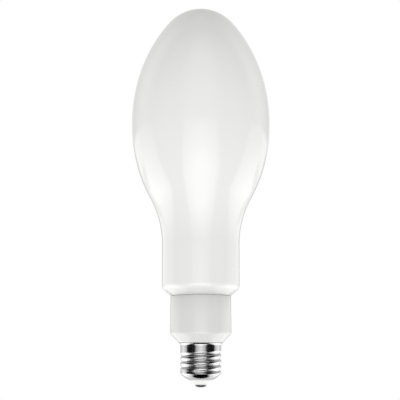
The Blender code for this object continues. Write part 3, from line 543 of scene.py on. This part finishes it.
CAD_FINISHES = {
    "bonding_ring": silicone, "driver_board": green_board, "storage_capacitor": black_sleeve,
    "output_capacitor": blue_sleeve, "choke_core": ferrite, "choke_winding": copper,
    "bridge_rectifier": black_epoxy, "controller_chip": black_epoxy, "freewheel_diode": black_epoxy,
    "sense_resistor": chip_glaze, "bleed_resistor": chip_glaze, "fuse_resistor": fuse_coat,
    "film_capacitor": yellow_case, "varistor": blue_coat, "live_wire": red_wire,
    "neutral_wire": black_wire, "lead_in_positive": lead_in, "lead_in_negative": lead_in,
}
for name, finish in CAD_FINISHES.items():
    for material_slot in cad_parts[name].material_slots:
        material_slot.material = finish

# Pieces that show, each on the CAD node that it stands for
shown = (
    (turned("glass_envelope", glass_outline(), opal_glass), "glass_bulb", "opal_glass"),
    (turned("collar_moulding", collar_outline(), white_moulding, closed=True), "base_collar",
     "white_moulding"),
    (screw_shell(nickel), "screw_shell", "nickel_plated_sheet"),
    (turned("insulator_body", insulator_outline(), ceramic, closed=True), "base_insulator",
     "white_insulator"),
    (turned("contact_with_rivet", contact_outline(), solder, steps=CONTACT_TURN_STEPS),
     "centre_contact", "dull_solder"),
)
for piece, node, finish_slot in shown:
    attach(piece, "root")
    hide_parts(node)


# Studio

# The light table, in metres
TABLE_HALF = 3.0
TABLE_Z = -0.001


def plain_floor():
    """A flat white light table under the lamp. It lights nothing and shows evenly white."""
    mesh = bpy.data.meshes.new("floor")
    signs = ((-1, -1), (1, -1), (1, 1), (-1, 1))
    corners = [(x * TABLE_HALF, y * TABLE_HALF, TABLE_Z) for x, y in signs]
    mesh.from_pydata(corners, [], [(0, 1, 2, 3)])
    floor = bpy.data.objects.new("floor", mesh)
    bpy.context.scene.collection.objects.link(floor)
    made, tree = new_material("white_light_table")
    glow = add_node(tree, "ShaderNodeEmission", [("Color", (1, 1, 1, 1)), ("Strength", 1.0)])
    add_node(tree, "ShaderNodeOutputMaterial", [("Surface", glow.outputs["Emission"])])
    mesh.materials.append(made)
    floor.visible_diffuse = False
    floor.visible_glossy = False
    floor.visible_shadow = False


# Lights by direction from the lamp, in degrees: azimuth from the front (0) to the back (180), and
# elevation from level. around holds a lean, by which the azimuth moves with the elevation, and
# pairs of azimuth and share. upright holds pairs of elevation and brightness.
GLOSS_LIGHTS = {
    "front_softbox": {
        "around": ((0.29, ((0, 1.0), (26.5, 0.48), (29.5, 0.06), (34, 0.0))),),
        "upright": ((-90, 1.7), (-60, 1.8), (-26, 2.05), (-10, 1.4), (-3, 1.15), (7, 1.0), (9.5, 0.0))},
    "front_above": {
        "around": ((0.0, ((0, 1.0), (20, 0.8), (40, 0.0))),),
        "upright": ((7, 0.0), (9.5, 0.3), (30, 0.5), (60, 0.5), (80, 0.0))},
    "side_softboxes": {
        "around": ((-0.3, ((81.5, 0.0), (85, 0.5), (100, 0.84), (140, 1.4))),
                   (0.0, ((121, 1.0), (127, 0.0)))),
        "upright": ((-90, 0.3), (-75, 0.35), (-58, 0.8), (-44, 1.7), (-25, 1.95), (8, 0.8),
                    (11.5, 0.8), (14.5, 0.0))},
    "back_paper": {
        "around": ((0.0, ((121, 0.0), (127, 1.0), (148, 1.0), (154, 0.0))),),
        "upright": ((-90, 0.7), (-60, 0.8), (-46, 1.1), (-25, 1.9), (-14, 1.9), (-8, 1.6), (-5, 1.0),
                    (-3.5, 0.77), (0, 0.77), (3, 1.15), (11.5, 1.1), (14.5, 0.0))},
    "back_far": {
        "around": ((0.0, ((148, 0.0), (154, 1.0))),),
        "upright": ((-90, 0.7), (-60, 0.75), (0, 0.75), (4, 0.5), (11.5, 0.5), (14.5, 0.75),
                    (40, 0.75), (75, 0.2))},
    "back_wall": {
        "around": ((0.0, ((83, 0.0), (110, 1.0), (148, 1.0), (154, 0.0))),),
        "upright": ((11.5, 0.0), (14.5, 0.43), (25, 0.56), (35, 0.68), (50, 0.6), (75, 0.12))},
}
DARK_ROOM = 0.01
# What is right under the lamp is dark in gloss: to the sides, to the front and to the back, as
# distances for each unit of height, with a soft edge. The least depth keeps the division sound.
DARK_BELOW = (0.42, 0.95, 0.36)
DARK_BELOW_SOFT = 0.08
LEAST_DEPTH = 0.001
# The even light on matt surfaces, as pairs of elevation and brightness, and what it gains to the front
GLOW = ((-90, 0.28), (-70, 0.36), (-50, 1.42), (-20, 1.17), (0, 0.86), (90, 0.31))
GLOW_FRONT_GAIN = 0.07


def studio_world():
    """Studio light by direction: white to the camera, softboxes in gloss, an even glow elsewhere."""
    world = bpy.data.worlds.new("studio")
    bpy.context.scene.world = world
    world.use_nodes = True
    world.cycles.sampling_method = "NONE"
    tree = world.node_tree
    tree.nodes.clear()
    place = add_node(tree, "ShaderNodeTexCoord")
    axes = add_node(tree, "ShaderNodeSeparateXYZ", [("Vector", place.outputs["Generated"])])
    right, back, up = (axes.outputs[axis] for axis in "XYZ")
    front = calculate(tree, "MULTIPLY", back, -1.0)
    turn = calculate(tree, "DEGREES", calculate(tree, "ARCTAN2", right, front))
    azimuth = calculate(tree, "ABSOLUTE", turn)
    elevation = calculate(tree, "DEGREES", calculate(tree, "ARCSINE", up))

    gloss = DARK_ROOM
    for light in GLOSS_LIGHTS.values():
        share = level_at(tree, elevation, light["upright"])
        for lean, pairs in light["around"]:
            leaned = calculate(tree, "MULTIPLY_ADD", elevation, lean, azimuth)
            share = calculate(tree, "MULTIPLY", share, level_at(tree, leaned, pairs))
        gloss = calculate(tree, "ADD", gloss, share)

    depth = calculate(tree, "MAXIMUM", calculate(tree, "MULTIPLY", up, -1.0), LEAST_DEPTH)
    below = 1.0
    for run, reach in zip((calculate(tree, "ABSOLUTE", right), front, back), DARK_BELOW):
        inside = add_node(tree, "ShaderNodeMapRange", [
            ("Value", calculate(tree, "DIVIDE", run, depth)), ("From Min", reach + DARK_BELOW_SOFT),
            ("From Max", reach - DARK_BELOW_SOFT)], interpolation_type="SMOOTHSTEP")
        below = calculate(tree, "MULTIPLY", below, inside.outputs["Result"])
    gloss = calculate(tree, "MULTIPLY", gloss, calculate(tree, "SUBTRACT", 1.0, below))

    glow = calculate(tree, "MULTIPLY_ADD", front, GLOW_FRONT_GAIN, level_at(tree, elevation, GLOW))
    path = add_node(tree, "ShaderNodeLightPath")
    lit = add_node(tree, "ShaderNodeMix", [
        ("Factor", path.outputs["Is Glossy Ray"]), ("A", glow), ("B", gloss)], data_type="FLOAT")
    seen = add_node(tree, "ShaderNodeMix", [
        ("Factor", path.outputs["Is Camera Ray"]), ("A", lit.outputs["Result"]), ("B", 1.0)],
        data_type="FLOAT")
    sky = add_node(tree, "ShaderNodeBackground", [
        ("Color", (1, 1, 1, 1)), ("Strength", seen.outputs["Result"])])
    add_node(tree, "ShaderNodeOutputWorld", [("Surface", sky.outputs["Background"])])


# The camera: metres in front of the axis and over the contact, millimetres of lens and sensor, and the
# shift across and up as shares of the frame
CAMERA_DISTANCE = 0.430
CAMERA_HEIGHT = 0.028
CAMERA_LENS = 60.32
CAMERA_SENSOR = 36
CAMERA_SHIFT = (-0.0019, 0.3585)
NEAREST_SEEN = 0.01


def photo_camera():
    """A level camera in front of the lamp, shifted up so that the whole lamp is in the frame."""
    data = bpy.data.cameras.new("photo_camera")
    camera = bpy.data.objects.new("photo_camera", data)
    bpy.context.scene.collection.objects.link(camera)
    camera.location = (0, -CAMERA_DISTANCE, CAMERA_HEIGHT)
    camera.rotation_euler = (math.pi / 2, 0, 0)
    data.sensor_width = CAMERA_SENSOR
    data.lens = CAMERA_LENS
    data.shift_x, data.shift_y = CAMERA_SHIFT
    data.clip_start = NEAREST_SEEN
    bpy.context.scene.camera = camera


plain_floor()
studio_world()
photo_camera()
bpy.context.scene.view_settings.view_transform = "Standard"
